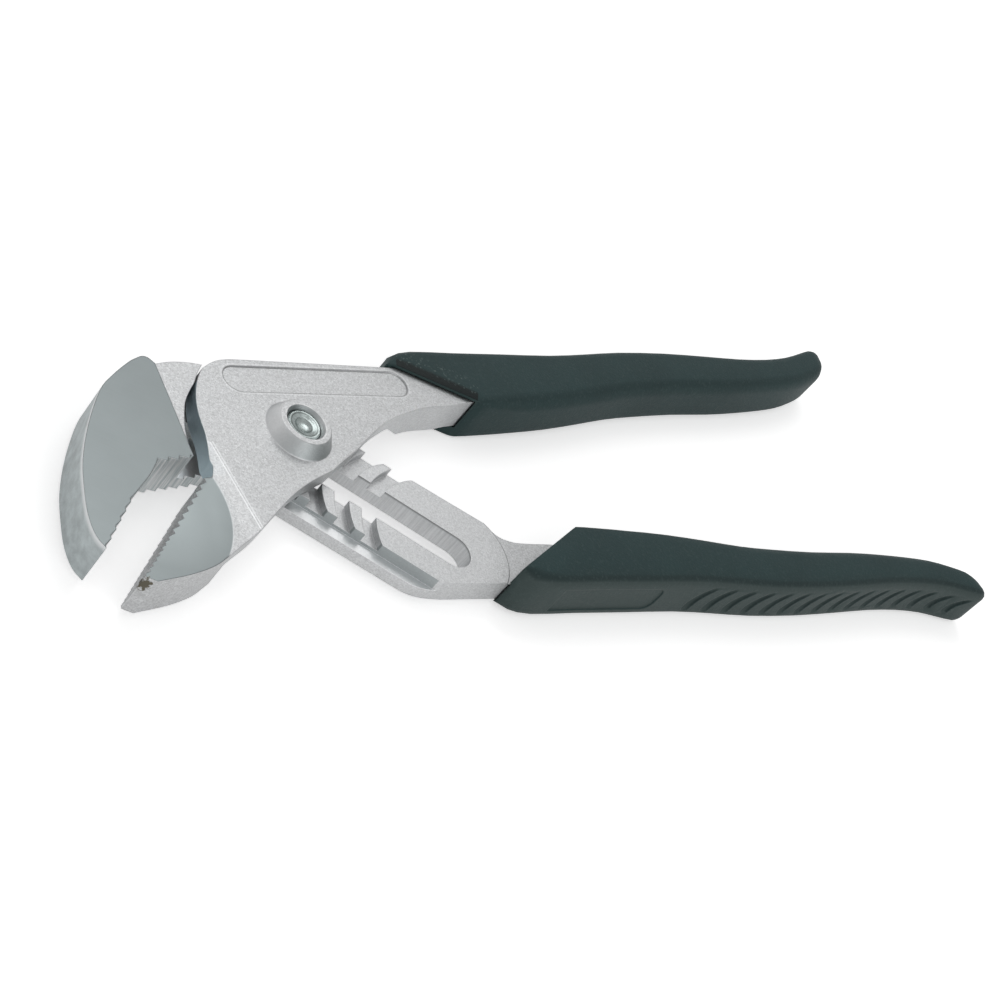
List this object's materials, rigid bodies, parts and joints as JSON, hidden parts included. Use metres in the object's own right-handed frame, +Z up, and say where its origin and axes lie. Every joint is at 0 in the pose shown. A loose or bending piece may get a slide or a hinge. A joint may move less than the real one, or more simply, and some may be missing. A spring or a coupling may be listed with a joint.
{
  "type": "groove joint pliers",
  "caption": "Groove joint water pump pliers with angled toothed jaws, a slotted and grooved bar, a shouldered bolt and two moulded grips.",
  "frame": {"origin": "Middle of the footprint, on the ground plane the pliers lie on.", "axes": "+X runs from the jaws to the grips' ends, +Y towards the front half's grip, +Z up through the front plate, along the bolt."},
  "size_m": [0.246, 0.0781, 0.0142],
  "materials": {
    "satin_chrome": "satin, sandblasted",
    "bright_steel": "turned and peened",
    "grip_plastic": "fine grain"
  },
  "bodies": {
    "rear_half": {"rear_jaw_half": "satin_chrome", "lower_grip": "grip_plastic"},
    "bolt_carriage": {"joint_bolt": "bright_steel"},
    "front_half": {"front_jaw_half": "satin_chrome", "upper_grip": "grip_plastic"}
  },
  "joints": [
    {"name": "setting_slide", "type": "slide", "parent": "rear_half", "child": "bolt_carriage", "axis": [0.766, -0.6428, 0], "range_m": [0, 0.0375]},
    {"name": "jaw_hinge", "type": "hinge", "parent": "bolt_carriage", "child": "front_half", "pos_m": [-0.07, 0.00454, 0.007], "axis": [0, 0, 1], "range_deg": [-8, 30]}
  ]
}
